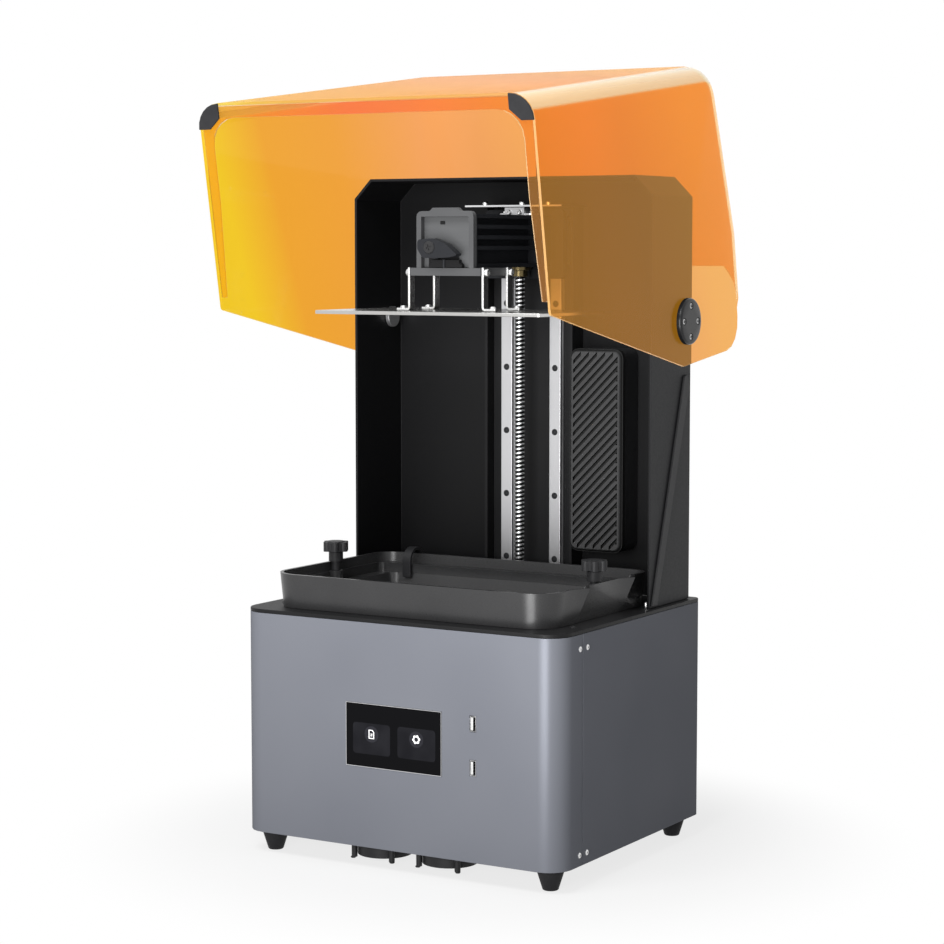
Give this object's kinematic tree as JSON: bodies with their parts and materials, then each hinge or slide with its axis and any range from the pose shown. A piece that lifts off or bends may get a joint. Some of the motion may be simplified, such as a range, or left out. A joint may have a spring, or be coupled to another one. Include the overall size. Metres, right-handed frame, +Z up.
{
  "type": "resin printer",
  "caption": "Desktop resin printer with a grey metal base, black rail tower, resin vat, build plate on a lifting arm and an orange see-through hood hinged open.",
  "frame": {"origin": "on the table, under the middle of the whole printer with its hood open", "axes": "+Z up, front with the display towards -Y, +X to the right when facing the display"},
  "size_m": [0.3422, 0.427, 0.722],
  "materials": {
    "anodised_grey": "satin",
    "black_metal": "satin",
    "black_plastic": "matte",
    "dark_casting": "satin",
    "vat_metal": "satin",
    "bright_steel": "brushed",
    "nut_brass": "machined",
    "silver_sheet": "satin",
    "bracket_steel": "plated",
    "display_black": "gloss",
    "screen_glass": "gloss",
    "orange_acrylic": "clear gloss",
    "foot_rubber": "matte",
    "circuit_board": "matte",
    "clear_film": "clear gloss"
  },
  "bodies": {
    "base": {"bottom_plate": "black_metal", "deck_plate": "black_metal", "display_panel": "display_black", "exposure_screen": "screen_glass", "fan_frame_left": "black_plastic", "fan_frame_right": "black_plastic", "feed_hook": "black_plastic", "film_frame": "silver_sheet", "filter_cover": "black_plastic", "filter_housing": "black_plastic", "foot_front_left": "foot_rubber", "foot_front_right": "foot_rubber", "foot_rear_left": "foot_rubber", "foot_rear_right": "foot_rubber", "front_cover": "anodised_grey", "hinge_pin_left": "bright_steel", "hinge_pin_right": "bright_steel", "hood_rib_left": "black_plastic", "hood_rib_right": "black_plastic", "light_housing": "silver_sheet", "mainboard": "circuit_board", "power_inlet": "black_plastic", "power_supply": "silver_sheet", "rail_left": "bright_steel", "rail_right": "bright_steel", "rear_cover": "anodised_grey", "release_film": "clear_film", "screw_bearing": "bright_steel", "screw_motor": "black_metal", "tower_shell": "black_metal", "usb_socket_lower": "bright_steel", "usb_socket_upper": "bright_steel", "vat_body": "vat_metal", "z_column": "black_metal"},
    "hood": {"hood_shell": "orange_acrylic", "hood_rim": "orange_acrylic", "hood_bumper_left": "foot_rubber", "hood_bumper_right": "foot_rubber", "hinge_disc_left": "black_plastic", "hinge_disc_right": "black_plastic"},
    "carriage": {"carriage_arm": "dark_casting", "slider_left": "bright_steel", "slider_right": "bright_steel", "lead_nut": "nut_brass", "platform_mount": "dark_casting", "build_plate": "dark_casting", "bracket_front_left": "bracket_steel", "bracket_front_right": "bracket_steel", "bracket_rear_left": "bracket_steel", "bracket_rear_right": "bracket_steel"},
    "screw": {"lead_screw": "bright_steel", "screw_coupler": "bright_steel"},
    "lever": {"clamp_lever": "dark_casting"},
    "shoe": {"clamp_shoe": "black_plastic"},
    "knob_left": {"vat_knob_left": "black_plastic"},
    "knob_right": {"vat_knob_right": "black_plastic"},
    "rotor_left": {"fan_rotor_left": "black_plastic"},
    "rotor_right": {"fan_rotor_right": "black_plastic"},
    "rocker": {"power_rocker": "black_plastic"}
  },
  "joints": [
    {"name": "hood_hinge", "type": "hinge", "parent": "base", "child": "hood", "pos_m": [0, 0.0831, 0.4867], "axis": [1, 0, 0], "range_deg": [0, 80.3]},
    {"name": "carriage_slide", "type": "slide", "parent": "base", "child": "carriage", "axis": [0, 0, 1], "range_m": [-0.2665, 0]},
    {"name": "screw_spin", "type": "hinge", "parent": "base", "child": "screw", "pos_m": [0, 0.0641, 0.4], "axis": [0, 0, 1], "range_deg": [0, 24000]},
    {"name": "lever_turn", "type": "hinge", "parent": "carriage", "child": "lever", "pos_m": [-0.0102, -0.0726, 0.5545], "axis": [0, 1, 0], "range_deg": [0, 90]},
    {"name": "shoe_slide", "type": "slide", "parent": "carriage", "child": "shoe", "axis": [0, 0, 1], "range_m": [0, 0.0016]},
    {"name": "knob_left_turn", "type": "hinge", "parent": "base", "child": "knob_left", "pos_m": [-0.1385, -0.0435, 0.26], "axis": [0, 0, 1], "range_deg": [0, 1080]},
    {"name": "knob_right_turn", "type": "hinge", "parent": "base", "child": "knob_right", "pos_m": [0.1385, -0.0435, 0.26], "axis": [0, 0, 1], "range_deg": [0, 1080]},
    {"name": "fan_left_spin", "type": "hinge", "parent": "base", "child": "rotor_left", "pos_m": [-0.0345, -0.1199, 0.012], "axis": [0, 0, 1], "continuous": true},
    {"name": "fan_right_spin", "type": "hinge", "parent": "base", "child": "rotor_right", "pos_m": [0.0345, -0.1199, 0.012], "axis": [0, 0, 1], "continuous": true},
    {"name": "rocker_tilt", "type": "hinge", "parent": "base", "child": "rocker", "pos_m": [0.095, 0.1176, 0.077], "axis": [1, 0, 0], "range_deg": [0, 14]}
  ],
  "couplings": [
    {"joint": "screw_spin", "follows": "carriage_slide", "rad_per_m": -1570.8},
    {"joint": "shoe_slide", "follows": "lever_turn", "m_per_rad": 0.00095493}
  ]
}
